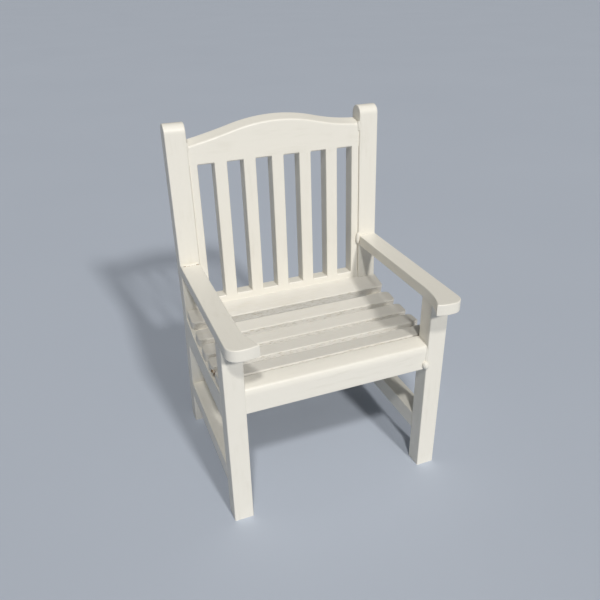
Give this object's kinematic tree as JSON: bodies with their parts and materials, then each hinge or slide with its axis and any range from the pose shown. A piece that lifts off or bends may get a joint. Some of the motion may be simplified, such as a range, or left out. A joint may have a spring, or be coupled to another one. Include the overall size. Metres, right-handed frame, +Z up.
{
  "type": "miniature garden armchair",
  "caption": "White-painted dolls-house garden armchair with a slatted back under a curved crest rail, a dished slatted seat, flat arms and straight legs with side stretchers.",
  "frame": {"origin": "on the floor, under the centre of the chair's footprint box", "axes": "+Z up, the chair faces -Y, +X to the right as seen from the front"},
  "size_m": [0.0523, 0.0488, 0.0816],
  "materials": {
    "white_paint": "satin off-white paint, brushed on by hand"
  },
  "bodies": {
    "root": {"back_slat_1": "white_paint", "back_slat_2": "white_paint", "back_slat_3": "white_paint", "back_slat_4": "white_paint", "back_slat_5": "white_paint", "crest_rail": "white_paint", "front_seat_rail": "white_paint", "left_arm": "white_paint", "left_back_stile": "white_paint", "left_front_leg": "white_paint", "left_lower_stretcher": "white_paint", "left_rear_post": "white_paint", "left_side_rail": "white_paint", "lower_back_rail": "white_paint", "rear_seat_rail": "white_paint", "right_arm": "white_paint", "right_back_stile": "white_paint", "right_front_leg": "white_paint", "right_lower_stretcher": "white_paint", "right_rear_post": "white_paint", "right_side_rail": "white_paint", "seat_slat_1": "white_paint", "seat_slat_2": "white_paint", "seat_slat_3": "white_paint", "seat_slat_4": "white_paint", "seat_slat_5": "white_paint"}
  },
  "joints": []
}
